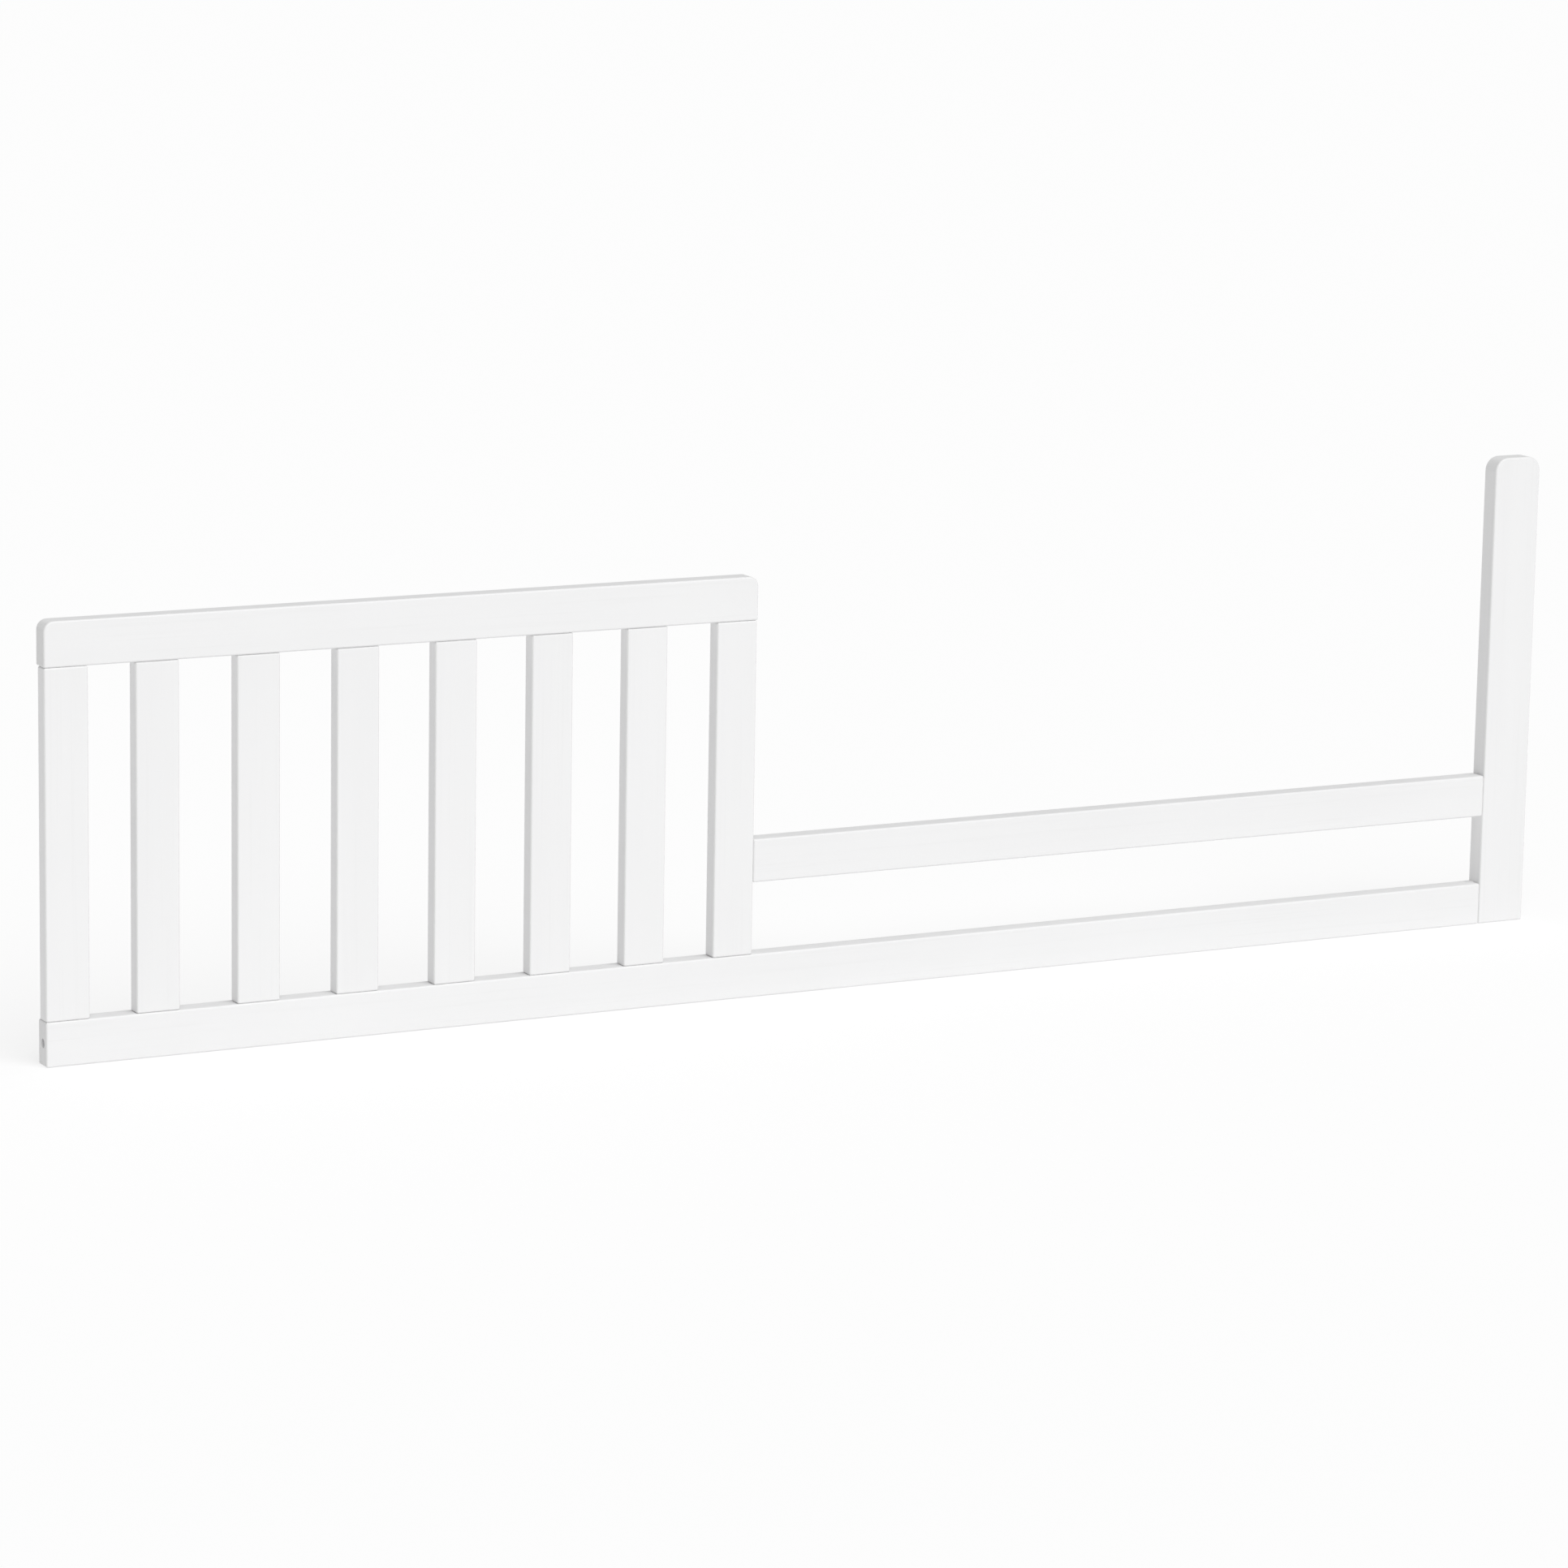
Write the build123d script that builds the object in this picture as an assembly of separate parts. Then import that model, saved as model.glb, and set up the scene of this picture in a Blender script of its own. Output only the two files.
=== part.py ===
from build123d import *
import os

# A guard rail that turns a convertible crib into a toddler bed: one flat frame of eased boards.
# +X runs along the rail and the slatted guard is at its -X end. The front faces -Y and +Z is up.
# The origin is the middle of the underside. All sizes are in millimetres.

# Boards
RAIL_LENGTH = 1340.0
BOARD_WIDTH = 35.0
BOARD_THICKNESS = 17.0
EASED_EDGE = 1.5

# Guard: a top rail on two stiles, with slats between them
GUARD_HEIGHT = 340.0
GUARD_LENGTH = 596.5
STILE_THICKNESS = 14.0
TOP_RAIL_OVERHANG = 0.7
TOP_RAIL_CORNER = 8.0
SLAT_COUNT = 6
SLAT_PITCH = 82.0
FIRST_SLAT = 73.0
SLAT_THICKNESS = 13.5
SLAT_SETBACK = 0.5

# Low entry side: a mid rail between the guard and the end post
MID_RAIL_UNDERSIDE = 93.5
POST_HEIGHT = 400.0
POST_WIDTH = 44.5
POST_CORNER = 12.0
TONGUE_PROUD = 0.7

# Stub tenons on the slats, in blind mortises
TENON_WIDTH = 27.0
TENON_THICKNESS = 8.0
TENON_LENGTH = 12.0
MORTISE_ROOM = 0.1
MORTISE_END_ROOM = 0.5

# Dowels, two at each end of a stile and of the mid rail
DOWEL_LENGTH = 30.0
DOWEL_RADIUS = 4.0
DOWEL_CHAMFER = 0.8
DOWEL_SPACING = 16.0
DOWEL_IN_SIDE = 12.0
GLUE_GAP = 0.05
DOWEL_END_ROOM = 0.5

# Threaded inserts for the M6 bolts that hold the rail to the crib
INSERT_RADIUS = 3.5
INSERT_THREAD_RADIUS = 2.5
INSERT_LENGTH = 13.0
INSERT_DEPTH = 4.0
BOLT_ROOM_RADIUS = 3.25
BOLT_ROOM_LENGTH = 20.0
LOWER_INSERT_HEIGHT = 64.0
UPPER_INSERT_HEIGHT = 364.0

# Countersunk screws through the half lap, from the back
SCREW_LENGTH = 14.0
SCREW_HEAD_RADIUS = 3.8
SCREW_SHANK_RADIUS = 1.9
SCREW_TIP_LENGTH = 3.0
SCREW_TIP_RADIUS = 0.3
SCREW_SPACING = 22.0
CROSS_SLOT_LENGTH = 4.4
CROSS_SLOT_WIDTH = 1.0
CROSS_SLOT_DEPTH = 1.4

# Places worked out from the sizes above
LEFT_END = -RAIL_LENGTH / 2
RIGHT_END = RAIL_LENGTH / 2
FRONT = -BOARD_THICKNESS / 2
BACK = BOARD_THICKNESS / 2
RAIL_TOP = BOARD_WIDTH
TOP_RAIL_UNDERSIDE = GUARD_HEIGHT - BOARD_WIDTH
MID_RAIL_MIDDLE = MID_RAIL_UNDERSIDE + BOARD_WIDTH / 2
LEFT_STILE_X = LEFT_END
GUARD_RIGHT = LEFT_END + GUARD_LENGTH
RIGHT_STILE_X = GUARD_RIGHT - BOARD_WIDTH
POST_RIGHT = RIGHT_END - TONGUE_PROUD
POST_LEFT = POST_RIGHT - POST_WIDTH
SLAT_FRONT = FRONT + SLAT_SETBACK
SLAT_BACK = SLAT_FRONT + SLAT_THICKNESS
SLAT_MIDDLE_Y = (SLAT_FRONT + SLAT_BACK) / 2
SLAT_LEFT_EDGES = [LEFT_END + FIRST_SLAT + SLAT_PITCH * index for index in range(SLAT_COUNT)]
SLAT_MIDDLES = [edge + BOARD_WIDTH / 2 for edge in SLAT_LEFT_EDGES]
STILE_MIDDLES = [edge + BOARD_WIDTH / 2 for edge in (LEFT_STILE_X, RIGHT_STILE_X)]
DOWEL_Y = FRONT + STILE_THICKNESS / 2
END_BOLT_HEIGHT = BOARD_WIDTH / 2

TO_LEFT = Vector(-1, 0, 0)
TO_RIGHT = Vector(1, 0, 0)
UPWARD = Vector(0, 0, 1)


def block(low, high):
    """A square-edged block between its lowest and highest corners."""
    low = Vector(*low)
    high = Vector(*high)
    size = high - low
    middle = (low + high) / 2
    return Pos(middle.X, middle.Y, middle.Z) * Box(size.X, size.Y, size.Z)


def rod(middle, direction, radius, length):
    """A round rod or hole, centred on its middle and lying along a direction."""
    return Plane(origin=middle, z_dir=direction) * Cylinder(radius, length)


def board(left, right, bottom, top, thickness=BOARD_THICKNESS):
    """A board with every edge eased, so that each joint shows as a fine groove."""
    plain = block((left, FRONT, bottom), (right, FRONT + thickness, top))
    return fillet(plain.edges(), EASED_EDGE)


def slat_mortise(middle_x, mouth, upward):
    """The blind mortise for one slat tenon, going up or down from its mouth."""
    half_width = TENON_WIDTH / 2 + MORTISE_ROOM
    half_thickness = TENON_THICKNESS / 2 + MORTISE_ROOM
    depth = TENON_LENGTH + MORTISE_END_ROOM
    bottom = mouth if upward else mouth - depth
    low = (middle_x - half_width, SLAT_MIDDLE_Y - half_thickness, bottom)
    high = (middle_x + half_width, SLAT_MIDDLE_Y + half_thickness, bottom + depth)
    return block(low, high)


def dowel(middle, direction):
    """A straight hardwood dowel with chamfered ends."""
    plain = rod(middle, direction, DOWEL_RADIUS, DOWEL_LENGTH)
    return chamfer(plain.edges().filter_by(GeomType.CIRCLE), DOWEL_CHAMFER)


def dowel_hole(middle, direction):
    """The room for a dowel and its glue."""
    length = DOWEL_LENGTH + 2 * DOWEL_END_ROOM
    return rod(middle, direction, DOWEL_RADIUS + GLUE_GAP, length)


def pair_about(middle, direction):
    """The middles of two dowels, side by side about the middle of a joint."""
    step = direction * (DOWEL_SPACING / 2)
    return [middle - step, middle + step]


def stile_dowel_middles(middle_x):
    """Four dowel middles for a stile: two at its foot and two at its head."""
    beyond_joint = DOWEL_LENGTH / 2 - DOWEL_IN_SIDE
    foot = Vector(middle_x, DOWEL_Y, RAIL_TOP + beyond_joint)
    head = Vector(middle_x, DOWEL_Y, TOP_RAIL_UNDERSIDE - beyond_joint)
    return pair_about(foot, TO_RIGHT) + pair_about(head, TO_RIGHT)


def mid_rail_dowel_middles():
    """Four dowel middles for the mid rail: two in the right stile and two in the post."""
    beyond_joint = DOWEL_LENGTH / 2 - DOWEL_IN_SIDE
    at_stile = Vector(GUARD_RIGHT + beyond_joint, DOWEL_Y, MID_RAIL_MIDDLE)
    at_post = Vector(POST_LEFT - beyond_joint, DOWEL_Y, MID_RAIL_MIDDLE)
    return pair_about(at_stile, UPWARD) + pair_about(at_post, UPWARD)


def insert(mouth, outward):
    """A plain threaded insert, set a little way in from the face that it serves."""
    middle = mouth - outward * (INSERT_DEPTH + INSERT_LENGTH / 2)
    barrel = rod(middle, outward, INSERT_RADIUS, INSERT_LENGTH)
    return barrel - rod(middle, outward, INSERT_THREAD_RADIUS, INSERT_LENGTH)


def insert_hole(mouth, outward):
    """The hole for an insert, with room behind it for the end of the bolt."""
    seat_length = INSERT_DEPTH + INSERT_LENGTH
    seat_middle = mouth - outward * (seat_length / 2)
    seat = rod(seat_middle, outward, INSERT_RADIUS + GLUE_GAP, seat_length)
    room_middle = mouth - outward * (seat_length + BOLT_ROOM_LENGTH / 2)
    return seat + rod(room_middle, outward, BOLT_ROOM_RADIUS, BOLT_ROOM_LENGTH)


def screw_body(x, room):
    """A countersunk screw, or with some room its hole, going in from the back face."""
    head_length = SCREW_HEAD_RADIUS - SCREW_SHANK_RADIUS
    shank_end = SCREW_LENGTH - SCREW_TIP_LENGTH
    outline = Polyline(
        (0, 0),
        (SCREW_HEAD_RADIUS + room, 0),
        (SCREW_SHANK_RADIUS + room, -head_length),
        (SCREW_SHANK_RADIUS + room, -shank_end),
        (SCREW_TIP_RADIUS + room, -SCREW_LENGTH - room),
        (0, -SCREW_LENGTH - room),
        close=True,
    )
    upright = revolve(Plane.XZ * make_face(outline), Axis.Z)
    seat = Plane(origin=(x, BACK, RAIL_TOP / 2), x_dir=(1, 0, 0), z_dir=(0, 1, 0))
    return seat * upright


def lap_screw(x):
    """One screw with a cross recess in its head."""
    half = CROSS_SLOT_LENGTH / 2
    half_width = CROSS_SLOT_WIDTH / 2
    floor = BACK - CROSS_SLOT_DEPTH
    middle = RAIL_TOP / 2
    across = block((x - half, floor, middle - half_width), (x + half, BACK, middle + half_width))
    upright = block((x - half_width, floor, middle - half), (x + half_width, BACK, middle + half))
    return screw_body(x, 0) - across - upright


def screw_places():
    """Where the two lap screws stand along the rail."""
    middle = (POST_LEFT + POST_RIGHT) / 2
    return [middle - SCREW_SPACING / 2, middle + SCREW_SPACING / 2]


def bottom_rail():
    """The full-length rail, thinned behind the end post to a tongue of half its thickness."""
    back_half = block((POST_LEFT - POST_WIDTH, 0, 0), (RIGHT_END, BACK, RAIL_TOP))
    tongue = board(LEFT_END, RIGHT_END, 0, RAIL_TOP) & back_half
    rail = board(LEFT_END, POST_LEFT, 0, RAIL_TOP) + tongue
    for middle_x in SLAT_MIDDLES:
        rail -= slat_mortise(middle_x, RAIL_TOP, upward=False)
    for middle_x in STILE_MIDDLES:
        for middle in stile_dowel_middles(middle_x):
            rail -= dowel_hole(middle, UPWARD)
    for x in screw_places():
        rail -= screw_body(x, GLUE_GAP)
    return rail - insert_hole(Vector(LEFT_END, 0, END_BOLT_HEIGHT), TO_LEFT)


def guard_top_rail():
    """The top of the guard, with rounded upper corners and every edge eased."""
    right = GUARD_RIGHT + TOP_RAIL_OVERHANG
    rail = block((LEFT_END, FRONT, TOP_RAIL_UNDERSIDE), (right, BACK, GUARD_HEIGHT))
    rail = fillet(rail.faces().sort_by(Axis.Z)[-1].edges().filter_by(Axis.Y), TOP_RAIL_CORNER)
    rail = fillet(rail.edges(), EASED_EDGE)
    for middle_x in SLAT_MIDDLES:
        rail -= slat_mortise(middle_x, TOP_RAIL_UNDERSIDE, upward=True)
    for middle_x in STILE_MIDDLES:
        for middle in stile_dowel_middles(middle_x):
            rail -= dowel_hole(middle, UPWARD)
    return rail


def left_stile():
    """The upright at the guard's outer end."""
    right = LEFT_STILE_X + BOARD_WIDTH
    stile = board(LEFT_STILE_X, right, RAIL_TOP, TOP_RAIL_UNDERSIDE, STILE_THICKNESS)
    for middle in stile_dowel_middles(STILE_MIDDLES[0]):
        stile -= dowel_hole(middle, UPWARD)
    return stile


def right_stile():
    """The upright at the guard's inner end, which also carries the mid rail."""
    stile = board(RIGHT_STILE_X, GUARD_RIGHT, RAIL_TOP, TOP_RAIL_UNDERSIDE, STILE_THICKNESS)
    for middle in stile_dowel_middles(STILE_MIDDLES[1]):
        stile -= dowel_hole(middle, UPWARD)
    for middle in mid_rail_dowel_middles():
        stile -= dowel_hole(middle, TO_RIGHT)
    return stile


def slat(left):
    """One thinner slat with every edge eased and a stub tenon at each end."""
    right = left + BOARD_WIDTH
    plain = block((left, SLAT_FRONT, RAIL_TOP), (right, SLAT_BACK, TOP_RAIL_UNDERSIDE))
    eased = fillet(plain.edges(), EASED_EDGE)
    shoulder = (BOARD_WIDTH - TENON_WIDTH) / 2
    half_thickness = TENON_THICKNESS / 2
    low = (left + shoulder, SLAT_MIDDLE_Y - half_thickness, RAIL_TOP - TENON_LENGTH)
    high = (right - shoulder, SLAT_MIDDLE_Y + half_thickness, TOP_RAIL_UNDERSIDE + TENON_LENGTH)
    return eased + block(low, high)


def mid_rail():
    """The low rail that the child steps over, between the right stile and the post."""
    top = MID_RAIL_UNDERSIDE + BOARD_WIDTH
    rail = board(GUARD_RIGHT, POST_LEFT, MID_RAIL_UNDERSIDE, top)
    for middle in mid_rail_dowel_middles():
        rail -= dowel_hole(middle, TO_RIGHT)
    return rail


def end_post():
    """The tall post, with rounded upper corners and its foot halved over the rail's tongue."""
    post = block((POST_LEFT, FRONT, 0), (POST_RIGHT, BACK, POST_HEIGHT))
    post = fillet(post.faces().sort_by(Axis.Z)[-1].edges().filter_by(Axis.Y), POST_CORNER)
    post = fillet(post.edges(), EASED_EDGE)
    post -= block((POST_LEFT, 0, 0), (POST_RIGHT, BACK, RAIL_TOP))
    for middle in mid_rail_dowel_middles():
        post -= dowel_hole(middle, TO_RIGHT)
    for x in screw_places():
        post -= screw_body(x, GLUE_GAP)
    for height in (LOWER_INSERT_HEIGHT, UPPER_INSERT_HEIGHT):
        post -= insert_hole(Vector(POST_RIGHT, 0, height), TO_RIGHT)
    return post


def stile_dowels(middle_x):
    """The four dowels of one stile."""
    return Compound(children=[dowel(middle, UPWARD) for middle in stile_dowel_middles(middle_x)])


def mid_rail_dowels():
    """The four dowels of the mid rail."""
    return Compound(children=[dowel(middle, TO_RIGHT) for middle in mid_rail_dowel_middles()])


def post_inserts():
    """The two inserts in the post's outer side."""
    heights = (LOWER_INSERT_HEIGHT, UPPER_INSERT_HEIGHT)
    return Compound(children=[insert(Vector(POST_RIGHT, 0, height), TO_RIGHT) for height in heights])


def lap_screws():
    """The two screws of the half lap."""
    return Compound(children=[lap_screw(x) for x in screw_places()])


def pieces():
    """Every piece of the rail by name."""
    made = {
        "bottom_rail": bottom_rail(),
        "guard_top_rail": guard_top_rail(),
        "left_stile": left_stile(),
        "right_stile": right_stile(),
        "mid_rail": mid_rail(),
        "end_post": end_post(),
        "left_stile_dowels": stile_dowels(STILE_MIDDLES[0]),
        "right_stile_dowels": stile_dowels(STILE_MIDDLES[1]),
        "mid_rail_dowels": mid_rail_dowels(),
        "left_end_insert": insert(Vector(LEFT_END, 0, END_BOLT_HEIGHT), TO_LEFT),
        "post_inserts": post_inserts(),
        "lap_screws": lap_screws(),
    }
    for number, left in enumerate(SLAT_LEFT_EDGES, start=1):
        made[f"slat_{number}"] = slat(left)
    return made


os.makedirs("parts", exist_ok=True)
for name, piece in pieces().items():
    export_step(piece, f"parts/{name}.step")
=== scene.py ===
import math

import bmesh
import bpy
from mathutils import Euler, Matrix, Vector


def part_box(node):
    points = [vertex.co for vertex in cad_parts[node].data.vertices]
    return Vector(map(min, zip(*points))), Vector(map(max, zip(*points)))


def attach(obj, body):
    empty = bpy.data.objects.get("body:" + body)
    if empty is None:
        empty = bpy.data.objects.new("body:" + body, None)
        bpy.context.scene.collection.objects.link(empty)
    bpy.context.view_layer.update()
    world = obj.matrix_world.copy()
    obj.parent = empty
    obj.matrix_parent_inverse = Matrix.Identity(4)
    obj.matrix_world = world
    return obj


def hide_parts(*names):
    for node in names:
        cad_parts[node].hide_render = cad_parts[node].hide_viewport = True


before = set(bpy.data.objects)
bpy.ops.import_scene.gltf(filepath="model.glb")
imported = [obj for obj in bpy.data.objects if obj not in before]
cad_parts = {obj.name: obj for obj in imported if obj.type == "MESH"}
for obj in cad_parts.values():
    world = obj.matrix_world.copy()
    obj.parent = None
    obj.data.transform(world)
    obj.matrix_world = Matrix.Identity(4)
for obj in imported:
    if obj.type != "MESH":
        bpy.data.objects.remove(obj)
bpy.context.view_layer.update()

# Sizes in metres; slopes, rims and valleys are shares of a barb or of a pitch.
# Places come from the frame's own pieces.
MM = 0.001
EASED_EDGE = 1.5 * MM
EASED_EDGE_STEPS = 6
TOP_RAIL_CORNER = 8.0 * MM
POST_CORNER = 12.0 * MM
CORNER_STEPS = 14
SHARP_ANGLE = math.radians(30)
ALONG_ENOUGH = 0.999
SAW_OVERRUN = 1.0 * MM
WELD_GAP = 0.01 * MM

TENON_SHOULDER = 4.0 * MM
TENON_THICKNESS = 8.0 * MM
MORTISE_ROOM = 0.1 * MM
MORTISE_END_ROOM = 0.5 * MM

DOWEL_RADIUS = 4.0 * MM
DOWEL_LENGTH = 30.0 * MM
DOWEL_CHAMFER = 0.8 * MM
DOWEL_FLUTES = 12
FLUTE_DEPTH = 0.45 * MM
GLUE_GAP = 0.05 * MM
DOWEL_END_ROOM = 0.5 * MM

INSERT_RADIUS = 3.5 * MM
INSERT_LENGTH = 13.0 * MM
INSERT_DEPTH = 4.0 * MM
INSERT_SLOT = (1.2 * MM, 1.6 * MM)
THREAD_CORE = 2.5 * MM
THREAD_CREST = 3.0 * MM
THREAD_PITCH = 1.0 * MM
BARB_COUNT = 5
BARB_ROOT = 3.2 * MM
BARB_SLOPE = 0.8
COLLAR_SLOPE = 0.2
COLLAR_RIM_DROP = 0.1
COLLAR_RIM_WIDTH = 0.4
HOLE_MOUTH_CHAMFER = 0.4 * MM
BOLT_ROOM_RADIUS = 3.25 * MM
BOLT_ROOM_LENGTH = 20.0 * MM

SCREW_LENGTH = 14.0 * MM
SCREW_HEAD = 3.8 * MM
SCREW_SHANK = 1.9 * MM
SCREW_CORE = 1.35 * MM
SCREW_TIP = 0.3 * MM
SCREW_TIP_LENGTH = 3.0 * MM
SCREW_PITCH = 1.4 * MM
SCREW_VALLEY = (0.2, 0.7)
SCREW_AXIS = 0.02 * MM
CROSS_RECESS = (4.4 * MM, 1.0 * MM, 1.4 * MM)

ROUND_SIDES = 48
RIGHTWARD = Vector((1, 0, 0))
BACKWARD = Vector((0, 1, 0))
UPWARD = Vector((0, 0, 1))

SLATS = [f"slat_{number}" for number in range(1, 7)]
STILES = ["left_stile", "right_stile"]


# ---- Bench work: sawing, easing, joining and finishing ----

def work_on(piece):
    """Leave only this piece selected and active."""
    bpy.ops.object.select_all(action="DESELECT")
    piece.select_set(True)
    bpy.context.view_layer.objects.active = piece


def settle(piece):
    """Put a piece's place, turn and size into its mesh."""
    work_on(piece)
    bpy.ops.object.transform_apply(location=True, rotation=True, scale=True)


def saw_block(name, low, high):
    """Saw a square block to its two corners."""
    bpy.ops.object.select_all(action="DESELECT")
    bpy.ops.mesh.primitive_cube_add(size=1, location=(low + high) / 2, scale=high - low)
    block = bpy.context.object
    block.name = name
    settle(block)
    return block


def round_over(piece, radius, steps, wanted):
    """Round over each edge that wanted(edge) picks."""
    work_on(piece)
    bpy.ops.object.mode_set(mode="EDIT")
    bpy.ops.mesh.select_mode(type="EDGE")
    bpy.ops.mesh.select_all(action="DESELECT")
    shape = bmesh.from_edit_mesh(piece.data)
    for edge in shape.edges:
        edge.select = wanted(edge)
    shape.select_flush_mode()
    bmesh.update_edit_mesh(piece.data)
    bpy.ops.mesh.bevel(offset=radius, segments=steps, affect="EDGES")
    bpy.ops.object.mode_set(mode="OBJECT")


def runs_along(direction):
    """Picks the edges that run along a direction."""
    def wanted(edge):
        run = (edge.verts[1].co - edge.verts[0].co).normalized()
        return abs(run.dot(direction)) > ALONG_ENOUGH
    return wanted


def is_sharp(edge):
    """Picks the edges that are still sharp."""
    return edge.calc_face_angle(0) > SHARP_ANGLE


def upper_corners_of(piece):
    """Picks the two front-to-back edges along the top of a piece."""
    top = max(vertex.co.z for vertex in piece.data.vertices)
    front_to_back = runs_along(BACKWARD)

    def wanted(edge):
        return front_to_back(edge) and edge.verts[0].co.z > top - SAW_OVERRUN
    return wanted


def join_by(piece, other, operation):
    """Cut a piece with another, or glue the other on, and clear the other away."""
    work_on(piece)
    cut = piece.modifiers.new("joint", "BOOLEAN")
    cut.operation = operation
    cut.solver = "EXACT"
    cut.object = other
    bpy.ops.object.modifier_apply(modifier=cut.name)
    bpy.data.objects.remove(other)


def round_bar(middle, direction, radius, length):
    """A plain round bar, for drilling with."""
    bpy.ops.object.select_all(action="DESELECT")
    turn = direction.to_track_quat("Z", "Y").to_euler()
    bpy.ops.mesh.primitive_cylinder_add(
        vertices=ROUND_SIDES, radius=radius, depth=length, location=middle, rotation=turn)
    bar = bpy.context.object
    settle(bar)
    return bar


def drill(piece, mouth, outward, radius, depth):
    """Drill a hole from its mouth, going in."""
    middle = mouth + outward * (SAW_OVERRUN - depth) / 2
    join_by(piece, round_bar(middle, outward, radius, depth + SAW_OVERRUN), "DIFFERENCE")


def ease_mouth(piece, mouth, outward, radius):
    """Take the sharp edge off a hole's mouth."""
    bpy.ops.object.select_all(action="DESELECT")
    turn = outward.to_track_quat("Z", "Y").to_euler()
    bpy.ops.mesh.primitive_cone_add(
        vertices=ROUND_SIDES, radius1=radius, radius2=radius + 2 * HOLE_MOUTH_CHAMFER,
        depth=2 * HOLE_MOUTH_CHAMFER, location=mouth, rotation=turn)
    cone = bpy.context.object
    settle(cone)
    join_by(piece, cone, "DIFFERENCE")


def smooth_faces(piece):
    """Shade the rounded edges smooth and keep the flats flat."""
    work_on(piece)
    bpy.ops.object.shade_smooth_by_angle(angle=SHARP_ANGLE)
    flats = piece.modifiers.new("flats", "WEIGHTED_NORMAL")
    flats.keep_sharp = True
    bpy.ops.object.modifier_apply(modifier=flats.name)


def turn_on_lathe(name, rings):
    """Turn a closed round shape. rings are its (radius, height) corners, in order round the wall."""
    bpy.ops.object.select_all(action="DESELECT")
    first_radius, first_height = rings[0]
    bpy.ops.mesh.primitive_circle_add(
        vertices=ROUND_SIDES, radius=first_radius, location=(0, 0, first_height))
    piece = bpy.context.object
    piece.name = name
    settle(piece)
    bpy.ops.object.mode_set(mode="EDIT")
    bpy.ops.mesh.select_mode(type="EDGE")
    bpy.ops.mesh.select_all(action="SELECT")
    radius, height = first_radius, first_height
    for next_radius, next_height in [*rings[1:], rings[0]]:
        bpy.ops.mesh.extrude_edges_indiv()
        growth = next_radius / radius
        bpy.ops.transform.resize(value=(growth, growth, 1), center_override=(0, 0, height))
        bpy.ops.transform.translate(value=(0, 0, next_height - height))
        radius, height = next_radius, next_height
    bpy.ops.mesh.select_all(action="SELECT")
    bpy.ops.mesh.remove_doubles(threshold=WELD_GAP)
    bpy.ops.mesh.normals_make_consistent(inside=False)
    bpy.ops.object.mode_set(mode="OBJECT")
    return piece


def stand_at(piece, place, direction):
    """Turn a piece made upright at the origin to its direction and move it to its place."""
    piece.rotation_euler = direction.to_track_quat("Z", "Y").to_euler()
    piece.location = place
    settle(piece)


def copy_of(piece):
    """A copy with a mesh of its own."""
    copy = piece.copy()
    copy.data = piece.data.copy()
    bpy.context.scene.collection.objects.link(copy)
    return copy


def gather(name, pieces):
    """Make one named set of several loose pieces."""
    bpy.ops.object.select_all(action="DESELECT")
    for piece in pieces:
        piece.select_set(True)
    bpy.context.view_layer.objects.active = pieces[0]
    bpy.ops.object.join()
    pieces[0].name = name
    return pieces[0]


# ---- Where the joints are ----

X, Y, Z = range(3)


def dowel_middles(node, along, across):
    """The middles of a set's four dowels, from the set's own box."""
    low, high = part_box(node)
    middles = []
    for place_along in (low[along] + DOWEL_LENGTH / 2, high[along] - DOWEL_LENGTH / 2):
        for place_across in (low[across] + DOWEL_RADIUS, high[across] - DOWEL_RADIUS):
            middle = (low + high) / 2
            middle[along] = place_along
            middle[across] = place_across
            middles.append(middle)
    return middles


STILE_DOWELS = {stile: dowel_middles(f"{stile}_dowels", Z, X) for stile in STILES}
MID_RAIL_DOWELS = dowel_middles("mid_rail_dowels", X, Z)


def screw_heads():
    """The middles of the two lap screws' heads, on the back face."""
    low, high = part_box("lap_screws")
    height = (low.z + high.z) / 2
    return [Vector((x, high.y, height)) for x in (low.x + SCREW_HEAD, high.x - SCREW_HEAD)]


def end_bolt_mouth():
    """Where the end bolt enters the bottom rail."""
    low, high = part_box("left_end_insert")
    return Vector((low.x - INSERT_DEPTH, (low.y + high.y) / 2, (low.z + high.z) / 2))


def post_bolt_mouths():
    """Where the two bolts enter the post's outer side, the lower one first."""
    low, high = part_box("post_inserts")
    depth = (low.y + high.y) / 2
    mouth_x = high.x + INSERT_DEPTH
    return [Vector((mouth_x, depth, z)) for z in (low.z + INSERT_RADIUS, high.z - INSERT_RADIUS)]


def drill_for_dowels(piece, middles, along):
    """Bore a board for its dowels, with room for glue."""
    radius = DOWEL_RADIUS + GLUE_GAP
    length = DOWEL_LENGTH + 2 * DOWEL_END_ROOM
    for middle in middles:
        join_by(piece, round_bar(middle, along, radius, length), "DIFFERENCE")


def drill_for_insert(piece, mouth, outward):
    """Bore a board for a threaded insert and the end of its bolt."""
    radius = INSERT_RADIUS + GLUE_GAP
    seat_depth = INSERT_DEPTH + INSERT_LENGTH
    drill(piece, mouth, outward, BOLT_ROOM_RADIUS, seat_depth + BOLT_ROOM_LENGTH)
    drill(piece, mouth, outward, radius, seat_depth)
    ease_mouth(piece, mouth, outward, radius)


def drill_for_screws(piece):
    """Bore a board for the lap screws, countersunk from the back."""
    for head in screw_heads():
        hole = turn_on_lathe("screw_hole", screw_outline(GLUE_GAP, threaded=False))
        stand_at(hole, head, BACKWARD)
        join_by(piece, hole, "DIFFERENCE")


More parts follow.
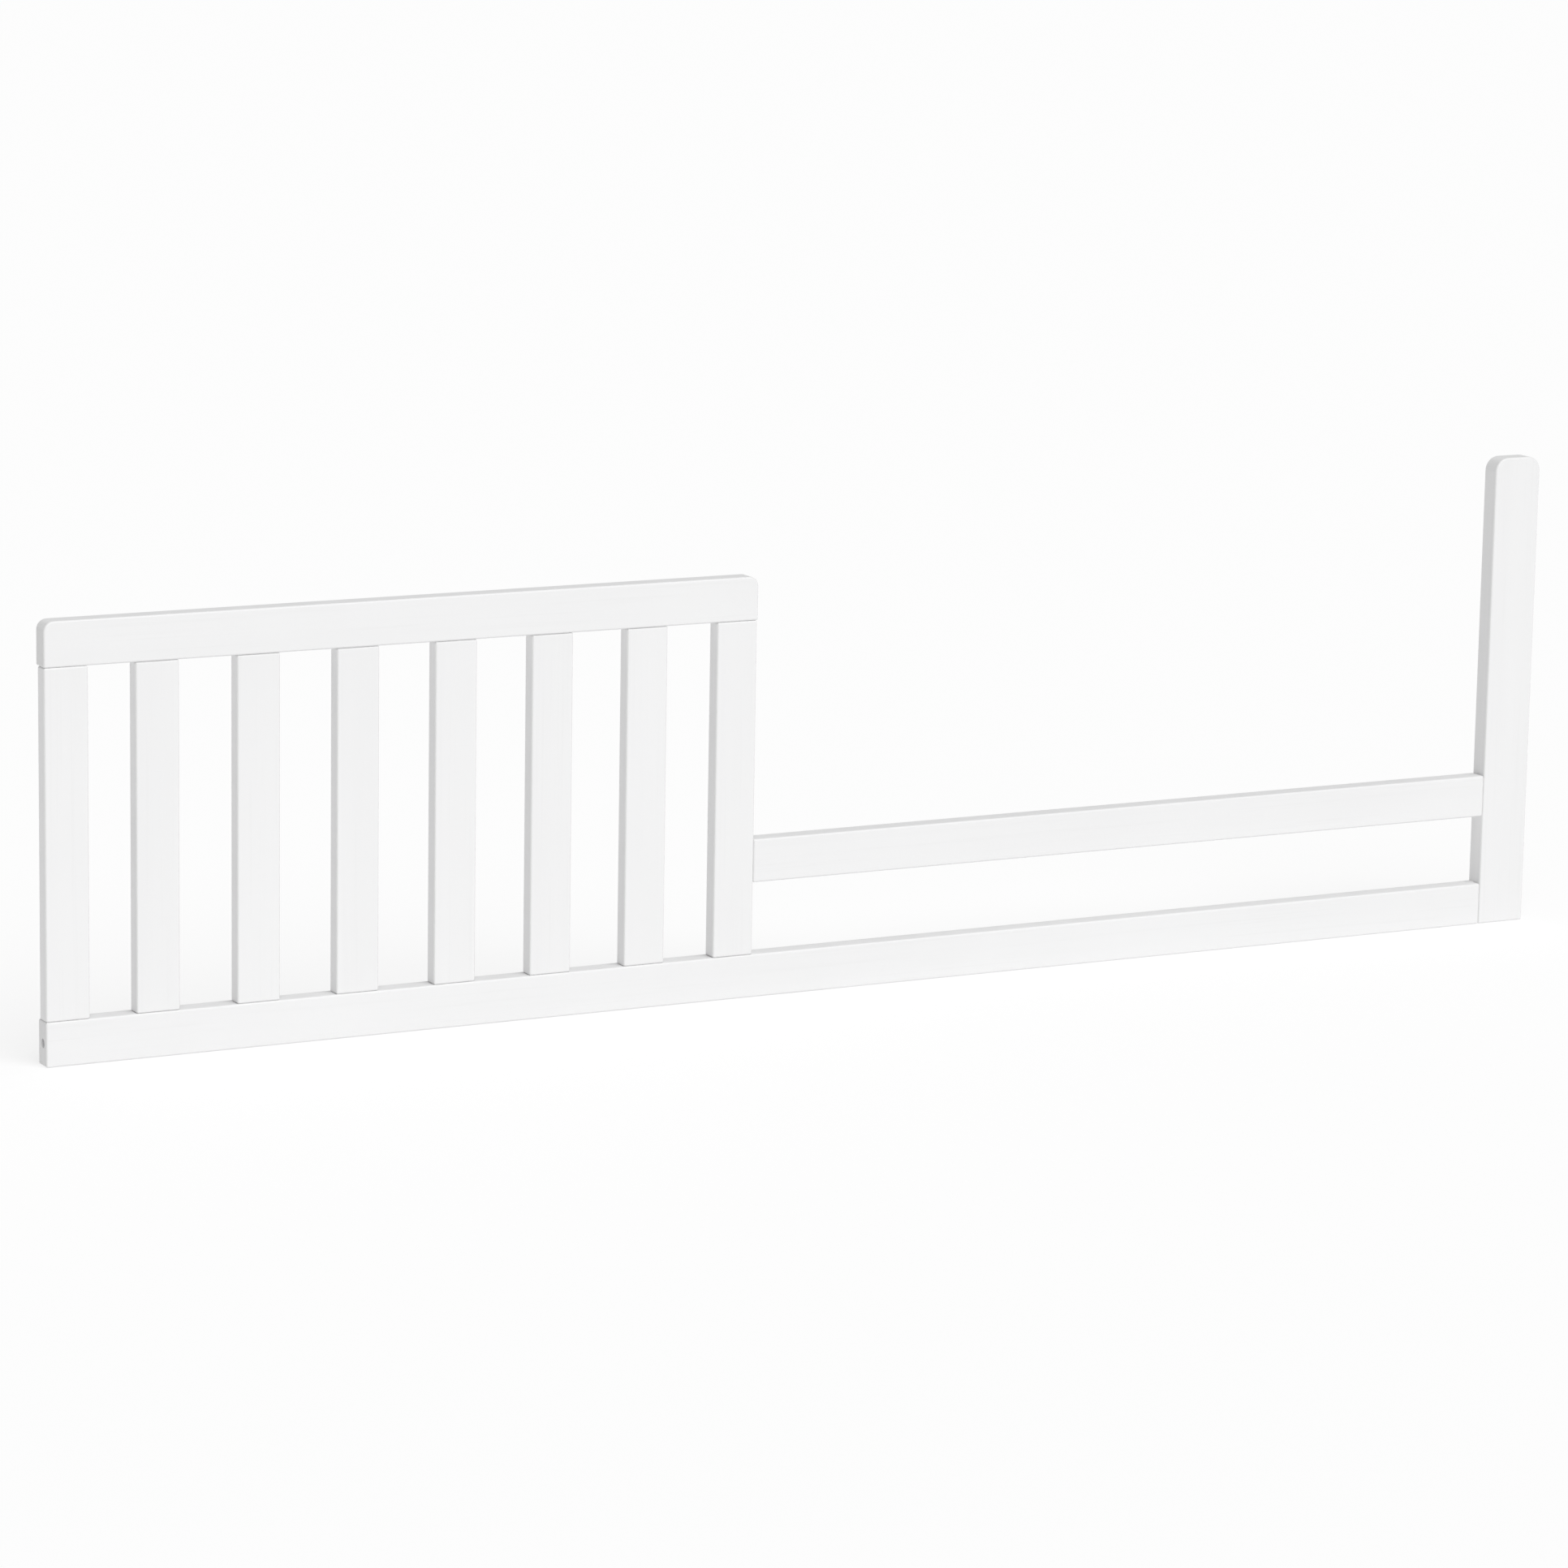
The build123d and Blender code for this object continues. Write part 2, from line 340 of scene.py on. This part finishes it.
def mortise(piece, slat):
    """Chop the mortise for one slat's tenons, a little larger than them."""
    low, high = tenon_corners(slat)
    room = Vector((MORTISE_ROOM, MORTISE_ROOM, MORTISE_END_ROOM))
    join_by(piece, saw_block("mortise", low - room, high + room), "DIFFERENCE")


def tenon_corners(slat):
    """The lowest and highest corners of the tongue that runs through a slat and out at both ends."""
    low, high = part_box(slat)
    middle_y = (low.y + high.y) / 2
    half = TENON_THICKNESS / 2
    return (Vector((low.x + TENON_SHOULDER, middle_y - half, low.z)),
            Vector((high.x - TENON_SHOULDER, middle_y + half, high.z)))


# ---- The boards ----

def make_bottom_rail():
    """The full-length rail, halved at its right end to a tongue behind the post."""
    low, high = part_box("bottom_rail")
    post_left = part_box("end_post")[0].x
    middle_y = (low.y + high.y) / 2
    rail = saw_block("painted_bottom_rail", low, Vector((post_left, high.y, high.z)))
    round_over(rail, EASED_EDGE, EASED_EDGE_STEPS, is_sharp)
    tongue = saw_block("tongue", Vector((post_left - 2 * EASED_EDGE, low.y, low.z)), high)
    round_over(tongue, EASED_EDGE, EASED_EDGE_STEPS, is_sharp)
    front_low = Vector((low.x, low.y - SAW_OVERRUN, low.z - SAW_OVERRUN))
    front_high = Vector((high.x + SAW_OVERRUN, middle_y, high.z + SAW_OVERRUN))
    join_by(tongue, saw_block("front_half", front_low, front_high), "DIFFERENCE")
    join_by(rail, tongue, "UNION")
    for slat in SLATS:
        mortise(rail, slat)
    for stile in STILES:
        drill_for_dowels(rail, STILE_DOWELS[stile], UPWARD)
    drill_for_screws(rail)
    drill_for_insert(rail, end_bolt_mouth(), -RIGHTWARD)
    return rail


def make_guard_top_rail():
    """The guard's top rail, with its rounded upper corners."""
    rail = saw_block("painted_guard_top_rail", *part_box("guard_top_rail"))
    round_over(rail, TOP_RAIL_CORNER, CORNER_STEPS, upper_corners_of(rail))
    round_over(rail, EASED_EDGE, EASED_EDGE_STEPS, is_sharp)
    for slat in SLATS:
        mortise(rail, slat)
    for stile in STILES:
        drill_for_dowels(rail, STILE_DOWELS[stile], UPWARD)
    return rail


def make_stile(stile):
    """An upright at one end of the guard."""
    upright = saw_block(f"painted_{stile}", *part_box(stile))
    round_over(upright, EASED_EDGE, EASED_EDGE_STEPS, is_sharp)
    drill_for_dowels(upright, STILE_DOWELS[stile], UPWARD)
    if stile == "right_stile":
        drill_for_dowels(upright, MID_RAIL_DOWELS, RIGHTWARD)
    return upright


def make_slat(slat):
    """One slat with a tenon at each end."""
    low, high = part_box(slat)
    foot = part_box("bottom_rail")[1].z
    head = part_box("guard_top_rail")[0].z
    board_low = Vector((low.x, low.y, foot))
    board_high = Vector((high.x, high.y, head))
    board = saw_block(f"painted_{slat}", board_low, board_high)
    round_over(board, EASED_EDGE, EASED_EDGE_STEPS, is_sharp)
    join_by(board, saw_block("tenons", *tenon_corners(slat)), "UNION")
    return board


def make_mid_rail():
    """The low rail of the entry."""
    rail = saw_block("painted_mid_rail", *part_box("mid_rail"))
    round_over(rail, EASED_EDGE, EASED_EDGE_STEPS, is_sharp)
    drill_for_dowels(rail, MID_RAIL_DOWELS, RIGHTWARD)
    return rail


def make_end_post():
    """The tall post, halved at its foot over the bottom rail's tongue."""
    low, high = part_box("end_post")
    post = saw_block("painted_end_post", low, high)
    round_over(post, POST_CORNER, CORNER_STEPS, upper_corners_of(post))
    round_over(post, EASED_EDGE, EASED_EDGE_STEPS, is_sharp)
    rail_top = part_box("bottom_rail")[1].z
    notch_low = Vector((low.x - SAW_OVERRUN, (low.y + high.y) / 2, low.z - SAW_OVERRUN))
    notch_high = Vector((high.x + SAW_OVERRUN, high.y + SAW_OVERRUN, rail_top))
    join_by(post, saw_block("notch", notch_low, notch_high), "DIFFERENCE")
    drill_for_dowels(post, MID_RAIL_DOWELS, RIGHTWARD)
    drill_for_screws(post)
    for mouth in post_bolt_mouths():
        drill_for_insert(post, mouth, RIGHTWARD)
    return post


# ---- The fastenings ----

def make_dowel():
    """A fluted hardwood dowel, upright at the origin."""
    dowel = round_bar(Vector((0, 0, 0)), UPWARD, DOWEL_RADIUS, DOWEL_LENGTH)
    work_on(dowel)
    bpy.ops.object.mode_set(mode="EDIT")
    bpy.ops.mesh.select_mode(type="VERT")
    bpy.ops.mesh.select_all(action="DESELECT")
    shape = bmesh.from_edit_mesh(dowel.data)
    for vertex in shape.verts:
        turn = math.atan2(vertex.co.y, vertex.co.x) / math.tau
        vertex.select = round(turn * ROUND_SIDES) % (ROUND_SIDES // DOWEL_FLUTES) == 0
    bmesh.update_edit_mesh(dowel.data)
    shrink = 1 - FLUTE_DEPTH / DOWEL_RADIUS
    bpy.ops.transform.resize(value=(shrink, shrink, 1), center_override=(0, 0, 0))
    bpy.ops.object.mode_set(mode="OBJECT")
    top = DOWEL_LENGTH / 2

    def is_rim(edge):
        return all(abs(vertex.co.z) > top - DOWEL_CHAMFER for vertex in edge.verts)
    round_over(dowel, DOWEL_CHAMFER, 1, is_rim)
    return dowel


def make_dowels(name, middles, direction):
    """A set of dowels, one at each middle."""
    first = make_dowel()
    dowels = [first] + [copy_of(first) for _ in middles[1:]]
    for dowel, middle in zip(dowels, middles):
        stand_at(dowel, middle, direction)
    return gather(name, dowels)


def insert_outline():
    """The wall of a threaded insert: down the thread, across the end and up the barbs."""
    turns = round(INSERT_LENGTH / THREAD_PITCH)
    outline = []
    for turn in range(turns):
        outline.append((THREAD_CREST, -turn * THREAD_PITCH))
        outline.append((THREAD_CORE, -(turn + 0.5) * THREAD_PITCH))
    outline.append((THREAD_CREST, -INSERT_LENGTH))
    barb_height = INSERT_LENGTH / (BARB_COUNT + 1)
    for barb in range(BARB_COUNT):
        foot = barb * barb_height - INSERT_LENGTH
        outline.append((BARB_ROOT, foot))
        outline.append((INSERT_RADIUS, foot + BARB_SLOPE * barb_height))
    collar = -barb_height
    outline.append((BARB_ROOT, collar))
    outline.append((INSERT_RADIUS, collar + COLLAR_SLOPE * barb_height))
    outline.append((INSERT_RADIUS, -COLLAR_RIM_DROP * barb_height))
    outline.append((BARB_ROOT + COLLAR_RIM_WIDTH * (INSERT_RADIUS - BARB_ROOT), 0))
    return outline


def make_insert(name, mouth, outward):
    """A threaded insert with a screwdriver slot across its face."""
    insert = turn_on_lathe(name, insert_outline())
    slot_width, slot_depth = INSERT_SLOT
    low = Vector((-INSERT_RADIUS - SAW_OVERRUN, -slot_width / 2, -slot_depth))
    high = Vector((INSERT_RADIUS + SAW_OVERRUN, slot_width / 2, SAW_OVERRUN))
    join_by(insert, saw_block("slot", low, high), "DIFFERENCE")
    stand_at(insert, mouth - outward * INSERT_DEPTH, outward)
    return insert


def screw_outline(room, threaded):
    """Half the section of a countersunk screw, head up, from the middle of its head to its tip."""
    head_length = SCREW_HEAD - SCREW_SHANK
    outline = [(SCREW_AXIS, 0), (SCREW_HEAD + room, 0), (SCREW_SHANK + room, -head_length)]
    thread_start = head_length + SCREW_PITCH
    thread_end = SCREW_LENGTH - SCREW_TIP_LENGTH
    outline.append((SCREW_SHANK + room, -thread_start))
    if threaded:
        valley_start, valley_end = SCREW_VALLEY
        turns = int((thread_end - thread_start) / SCREW_PITCH)
        for turn in range(turns):
            height = -thread_start - turn * SCREW_PITCH
            outline.append((SCREW_CORE, height - valley_start * SCREW_PITCH))
            outline.append((SCREW_CORE, height - valley_end * SCREW_PITCH))
            outline.append((SCREW_SHANK, height - SCREW_PITCH))
    else:
        outline.append((SCREW_SHANK + room, -thread_end))
    outline.append((SCREW_TIP + room, -SCREW_LENGTH - room))
    outline.append((SCREW_AXIS, -SCREW_LENGTH - room))
    return outline


def make_lap_screw():
    """A countersunk screw with a cross recess, upright at the origin."""
    screw = turn_on_lathe("lap_screw", screw_outline(0, threaded=True))
    length, width, depth = CROSS_RECESS
    for size_x, size_y in ((length, width), (width, length)):
        low = Vector((-size_x / 2, -size_y / 2, -depth))
        high = Vector((size_x / 2, size_y / 2, SAW_OVERRUN))
        join_by(screw, saw_block("recess", low, high), "DIFFERENCE")
    return screw


def make_lap_screws():
    """The two screws of the half lap."""
    first = make_lap_screw()
    screws = [first, copy_of(first)]
    for screw, head in zip(screws, screw_heads()):
        stand_at(screw, head, BACKWARD)
    return gather("countersunk_lap_screws", screws)


# ---- Finishes ----

PAINT_LIGHT = (0.815, 0.815, 0.817, 1)
PAINT_SHADE = (0.795, 0.795, 0.797, 1)
PAINT_OVER_GRAIN = (0.77, 0.77, 0.77, 1)
# Thin paint on end grain; it is also laid on the eased edges, where it is partly painted shade along
# the arrises.
THIN_PAINT_AND_EDGE_SHADE = (0.72, 0.72, 0.717, 1)
BEECH_LIGHT = (0.66, 0.47, 0.28, 1)
BEECH_DARK = (0.52, 0.34, 0.19, 1)
BEECH_FLECK = (0.33, 0.19, 0.10, 1)
ZINC_BRIGHT = (0.74, 0.75, 0.77, 1)
ZINC_DULL = (0.55, 0.57, 0.60, 1)

# How fine each pattern is, to the metre; a pair is along and across the grain.
PAINT_STREAKS = (7, 420)
PAINT_BANDS = (2.2, 60)
PAINT_MOTTLE = 5.5
SPRAYED_SKIN = 620
SANDING_WAVES = 16
# Patches of the eased-edge darkening, which is partly rubbed paint and partly painted shade.
EDGE_WEAR_AND_SHADE_PATCHES = 90
SHEEN_PATCHES = 38
END_PORES = 1500
BEECH_RINGS = (15, 500)
BEECH_FLECKS = (240, 1900)
ZINC_BLOOM = 420
ZINC_MARKS = 2600

SANDING_RELIEF = 0.1 * MM
STREAK_RELIEF = 0.035 * MM
SKIN_RELIEF = 0.02 * MM
PORE_RELIEF = 0.05 * MM
RING_RELIEF = 0.05 * MM
FLECK_RELIEF = 0.03 * MM
MARK_RELIEF = 0.01 * MM

# Where in a pattern's range its effect starts and is full.
PATTERN_SWING = (0.3, 0.7)
TONE_SWING = (0.35, 0.65)
STREAK_RANGE = (0.56, 0.72)
FLECK_RANGE = (0.6, 0.7)
PATCH_RANGE = (0.35, 0.7)

# The same for how squarely a face looks along an axis.
ON_EASED_EDGE = (0.98, 0.72)
ON_END_GRAIN = (0.94, 0.99)

# How far each effect goes at its fullest, or from its least to its most.
PATCH_SHARE = (0.7, 1)
# How far the eased edges darken: partly thin, rubbed paint and partly painted shade along the arrises.
EDGE_WEAR_AND_SHADE_SHARE = 0.7
END_GRAIN_SHARE = 0.5
STREAK_SHARE = 0.35
FLECK_SHARE = 0.6
BAND_SHARE = 0.4

PAINT_ROUGHNESS = (0.36, 0.47)
END_GRAIN_DULLING = 0.14
PAINT_IOR = 1.48
BEECH_ROUGHNESS = (0.55, 0.72)
ZINC_ROUGHNESS = (0.24, 0.42)


class Finish:
    """A material under construction: its nodes, its links and its shader."""

    def __init__(self, name):
        self.material = bpy.data.materials.new(name)
        self.material.use_nodes = True
        self.tree = self.material.node_tree
        self.shader = self.tree.nodes["Principled BSDF"]
        self.place = self.tree.nodes.new("ShaderNodeTexCoord")

    def node(self, kind, **settings):
        """Add a node with its settings, such as its operation."""
        node = self.tree.nodes.new(kind)
        for key, value in settings.items():
            setattr(node, key, value)
        return node

    def feed(self, source, target):
        """Link one socket to another, or set a plain value."""
        if isinstance(source, bpy.types.NodeSocket):
            self.tree.links.new(source, target)
        else:
            target.default_value = source

    def sum(self, operation, first, second):
        """A sum on two values or sockets."""
        node = self.node("ShaderNodeMath", operation=operation)
        self.feed(first, node.inputs[0])
        self.feed(second, node.inputs[1])
        return node.outputs[0]

    def noise(self, scale, detail=2.0, stretch=(1, 1, 1)):
        """Soft noise in the piece's own metres; stretch gives its fineness along X, Y and Z."""
        spread = self.node("ShaderNodeMapping")
        spread.inputs["Scale"].default_value = stretch
        self.feed(self.place.outputs["Object"], spread.inputs["Vector"])
        noise = self.node("ShaderNodeTexNoise")
        noise.inputs["Scale"].default_value = scale
        noise.inputs["Detail"].default_value = detail
        self.feed(spread.outputs[0], noise.inputs["Vector"])
        return noise.outputs["Fac"]

    def between(self, value, reach, result=(0, 1)):
        """Map a value's reach, from its start to its end, to a result, and hold it there."""
        node = self.node("ShaderNodeMapRange")
        self.feed(value, node.inputs["Value"])
        names = ("From Min", "From Max", "To Min", "To Max")
        for name, number in zip(names, (*reach, *result)):
            self.feed(number, node.inputs[name])
        return node.outputs["Result"]

    def blend(self, amount, first, second):
        """Mix two colours."""
        node = self.node("ShaderNodeMix", data_type="RGBA")
        self.feed(amount, node.inputs[0])
        self.feed(first, node.inputs[6])
        self.feed(second, node.inputs[7])
        return node.outputs[2]

    def relief(self, height, depth, under=None):
        """Raise a surface by a height pattern up to a depth in metres, over another relief."""
        node = self.node("ShaderNodeBump")
        node.inputs["Distance"].default_value = depth
        self.feed(height, node.inputs["Height"])
        if under is not None:
            self.feed(under, node.inputs["Normal"])
        return node.outputs[0]

    def facing(self):
        """How squarely the surface faces along X, Y and Z, each 0 to 1."""
        size = self.node("ShaderNodeVectorMath", operation="ABSOLUTE")
        self.feed(self.place.outputs["Normal"], size.inputs[0])
        parts = self.node("ShaderNodeSeparateXYZ")
        self.feed(size.outputs[0], parts.inputs[0])
        return parts.outputs


def along_grain(grain, fineness):
    """Pattern fineness along X, Y and Z, from a pair of it along and across the grain."""
    along, across = fineness
    return tuple(along if axis == grain else across for axis in (X, Y, Z))


def white_paint(name, grain):
    """Satin white paint on pine: sprayed skin, faint grain, thin at eased edges with painted shade
    along them too, dull on end grain.
    """
    paint = Finish(name)
    facing = paint.facing()
    streaks = paint.noise(1.0, detail=4.0, stretch=along_grain(grain, PAINT_STREAKS))
    bands = paint.noise(1.0, detail=2.0, stretch=along_grain(grain, PAINT_BANDS))
    skin = paint.noise(SPRAYED_SKIN, detail=2.0)
    sanding = paint.noise(SANDING_WAVES, detail=1.0)
    mottle = paint.noise(PAINT_MOTTLE, detail=3.0)

    flattest = paint.sum("MAXIMUM", facing[X], paint.sum("MAXIMUM", facing[Y], facing[Z]))
    patches = paint.between(paint.noise(EDGE_WEAR_AND_SHADE_PATCHES, detail=4.0), PATCH_RANGE, PATCH_SHARE)
    # The eased edges darken in patches: thin, rubbed paint, and with it painted shade along the
    # arrises.
    worn_and_shaded_edges = paint.sum("MULTIPLY", paint.between(flattest, ON_EASED_EDGE), patches)
    end_grain = paint.between(facing[grain], ON_END_GRAIN)

    soft_bands = paint.sum("MULTIPLY", bands, BAND_SHARE)
    tone = paint.sum("ADD", paint.sum("MULTIPLY", mottle, 1 - BAND_SHARE), soft_bands)
    over_grain = paint.between(streaks, STREAK_RANGE, (0, STREAK_SHARE))
    colour = paint.blend(paint.between(tone, TONE_SWING), PAINT_SHADE, PAINT_LIGHT)
    colour = paint.blend(over_grain, colour, PAINT_OVER_GRAIN)
    colour = paint.blend(paint.sum("MULTIPLY", worn_and_shaded_edges, EDGE_WEAR_AND_SHADE_SHARE), colour, THIN_PAINT_AND_EDGE_SHADE)
    colour = paint.blend(paint.sum("MULTIPLY", end_grain, END_GRAIN_SHARE), colour, THIN_PAINT_AND_EDGE_SHADE)
    paint.feed(colour, paint.shader.inputs["Base Color"])

    satin = paint.between(paint.noise(SHEEN_PATCHES, detail=3.0), PATTERN_SWING, PAINT_ROUGHNESS)
    dulled = paint.sum("ADD", satin, paint.sum("MULTIPLY", end_grain, END_GRAIN_DULLING))
    paint.feed(dulled, paint.shader.inputs["Roughness"])
    paint.shader.inputs["IOR"].default_value = PAINT_IOR

    pores = paint.sum("MULTIPLY", paint.noise(END_PORES, detail=1.0), end_grain)
    relief = paint.relief(sanding, SANDING_RELIEF)
    relief = paint.relief(streaks, STREAK_RELIEF, relief)
    relief = paint.relief(skin, SKIN_RELIEF, relief)
    relief = paint.relief(pores, PORE_RELIEF, relief)
    paint.feed(relief, paint.shader.inputs["Normal"])
    return paint.material


def bare_beech(name, grain):
    """Unfinished beech: warm, with short dark flecks along the grain."""
    wood = Finish(name)
    rings = wood.noise(1.0, detail=3.0, stretch=along_grain(grain, BEECH_RINGS))
    flecks = wood.noise(1.0, detail=2.0, stretch=along_grain(grain, BEECH_FLECKS))
    colour = wood.blend(wood.between(rings, PATTERN_SWING), BEECH_DARK, BEECH_LIGHT)
    colour = wood.blend(wood.between(flecks, FLECK_RANGE, (0, FLECK_SHARE)), colour, BEECH_FLECK)
    wood.feed(colour, wood.shader.inputs["Base Color"])
    wood.feed(wood.between(rings, PATTERN_SWING, BEECH_ROUGHNESS), wood.shader.inputs["Roughness"])
    relief = wood.relief(rings, RING_RELIEF)
    wood.feed(wood.relief(flecks, FLECK_RELIEF, relief), wood.shader.inputs["Normal"])
    return wood.material


def zinc_plate(name):
    """Bright zinc plate with fine turning marks and a dull bloom."""
    zinc = Finish(name)
    bloom = zinc.noise(ZINC_BLOOM, detail=3.0)
    marks = zinc.noise(ZINC_MARKS, detail=1.0)
    colour = zinc.blend(zinc.between(bloom, PATTERN_SWING), ZINC_DULL, ZINC_BRIGHT)
    zinc.feed(colour, zinc.shader.inputs["Base Color"])
    zinc.shader.inputs["Metallic"].default_value = 1.0
    zinc.feed(zinc.between(bloom, PATTERN_SWING, ZINC_ROUGHNESS), zinc.shader.inputs["Roughness"])
    zinc.feed(zinc.relief(marks, MARK_RELIEF), zinc.shader.inputs["Normal"])
    return zinc.material


# ---- Putting the rail together ----

def hand_over(piece, node, finish):
    """Finish a piece and let it stand for its node."""
    smooth_faces(piece)
    piece.data.materials.clear()
    piece.data.materials.append(finish)
    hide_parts(node)
    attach(piece, "root")


def make_rail():
    """Every piece of the rail, finished and in place."""
    paint_along = white_paint("white_paint_along_the_rail", X)
    paint_upright = white_paint("white_paint_on_uprights", Z)
    beech_upright = bare_beech("bare_beech_upright", Z)
    beech_along = bare_beech("bare_beech_along_the_rail", X)
    zinc = zinc_plate("zinc_plate")
    hand_over(make_bottom_rail(), "bottom_rail", paint_along)
    hand_over(make_guard_top_rail(), "guard_top_rail", paint_along)
    hand_over(make_mid_rail(), "mid_rail", paint_along)
    hand_over(make_end_post(), "end_post", paint_upright)
    for stile in STILES:
        hand_over(make_stile(stile), stile, paint_upright)
        dowels = make_dowels(f"fluted_{stile}_dowels", STILE_DOWELS[stile], UPWARD)
        hand_over(dowels, f"{stile}_dowels", beech_upright)
    for slat in SLATS:
        hand_over(make_slat(slat), slat, paint_upright)
    dowels = make_dowels("fluted_mid_rail_dowels", MID_RAIL_DOWELS, RIGHTWARD)
    hand_over(dowels, "mid_rail_dowels", beech_along)
    end_insert = make_insert("threaded_left_end_insert", end_bolt_mouth(), -RIGHTWARD)
    hand_over(end_insert, "left_end_insert", zinc)
    inserts = [make_insert("post_insert", mouth, RIGHTWARD) for mouth in post_bolt_mouths()]
    hand_over(gather("threaded_post_inserts", inserts), "post_inserts", zinc)
    hand_over(make_lap_screws(), "lap_screws", zinc)


# ---- Studio ----

FLOOR_SIZE = 120.0
FLOOR_DROP = 0.2 * MM
FLOOR_COLOUR = (0.3, 0.3, 0.3, 1)
FLOOR_GLOW = 0.69
ROOM_LIGHT = 0.38
ROOM_SEEN = 0.98
SOFTBOX_STRENGTH = 2.28
SOFTBOX_SPREAD = math.radians(55)
SOFTBOX_FROM = Vector((0.03, -0.38, 0.52))
WHITE = (1, 1, 1, 1)

CAMERA_PLACE = Vector((-2.179, -4.0464, 1.0504))
CAMERA_HEADING = math.radians(27.83)
CAMERA_PITCH = math.radians(-10.895)
CAMERA_ROLL = math.radians(0.986)
CAMERA_LENS = 134.24


def lay_floor():
    """A plain matt floor that glows evenly, so it stays pale and takes almost no shadow."""
    bpy.ops.object.select_all(action="DESELECT")
    bpy.ops.mesh.primitive_plane_add(size=FLOOR_SIZE, location=(0, 0, -FLOOR_DROP))
    floor = bpy.context.object
    floor.name = "studio_floor"
    pale = bpy.data.materials.new("pale_floor")
    pale.use_nodes = True
    shader = pale.node_tree.nodes["Principled BSDF"]
    shader.inputs["Base Color"].default_value = FLOOR_COLOUR
    shader.inputs["Roughness"].default_value = 1.0
    shader.inputs["Specular IOR Level"].default_value = 0.0
    shader.inputs["Emission Color"].default_value = WHITE
    shader.inputs["Emission Strength"].default_value = FLOOR_GLOW
    floor.data.materials.append(pale)


def light_room():
    """Even light from all round, and a white wall for the camera to see."""
    room = bpy.data.worlds.new("studio_room")
    bpy.context.scene.world = room
    room.use_nodes = True
    tree = room.node_tree
    light = tree.nodes["Background"]
    light.inputs["Strength"].default_value = ROOM_LIGHT
    light.inputs["Color"].default_value = WHITE
    wall = tree.nodes.new("ShaderNodeBackground")
    wall.inputs["Strength"].default_value = ROOM_SEEN
    wall.inputs["Color"].default_value = WHITE
    ray = tree.nodes.new("ShaderNodeLightPath")
    choose = tree.nodes.new("ShaderNodeMixShader")
    tree.links.new(ray.outputs["Is Camera Ray"], choose.inputs["Fac"])
    tree.links.new(light.outputs[0], choose.inputs[1])
    tree.links.new(wall.outputs[0], choose.inputs[2])
    tree.links.new(choose.outputs[0], tree.nodes["World Output"].inputs["Surface"])


def hang_softbox():
    """One large soft light from the front and above."""
    lamp = bpy.data.lights.new("softbox", "SUN")
    lamp.energy = SOFTBOX_STRENGTH
    lamp.angle = SOFTBOX_SPREAD
    softbox = bpy.data.objects.new("softbox", lamp)
    softbox.rotation_euler = SOFTBOX_FROM.to_track_quat("Z", "Y").to_euler()
    bpy.context.scene.collection.objects.link(softbox)


def set_camera():
    """A long lens from the guard's side, a little above the rail."""
    seen_by = bpy.data.cameras.new("camera")
    seen_by.lens = CAMERA_LENS
    seen_by.clip_end = FLOOR_SIZE * 2
    camera = bpy.data.objects.new("camera", seen_by)
    level = math.radians(90)
    turn = Euler((level + CAMERA_PITCH, 0, -CAMERA_HEADING)).to_quaternion()
    roll = Euler((0, 0, CAMERA_ROLL)).to_quaternion()
    camera.rotation_euler = (turn @ roll).to_euler()
    camera.location = CAMERA_PLACE
    bpy.context.scene.collection.objects.link(camera)
    bpy.context.scene.camera = camera


def develop_plainly():
    """Show the whites as they are, with no film look."""
    view = bpy.context.scene.view_settings
    view.view_transform = "Standard"
    view.look = "None"


set_camera()
make_rail()
lay_floor()
light_room()
hang_softbox()
develop_plainly()
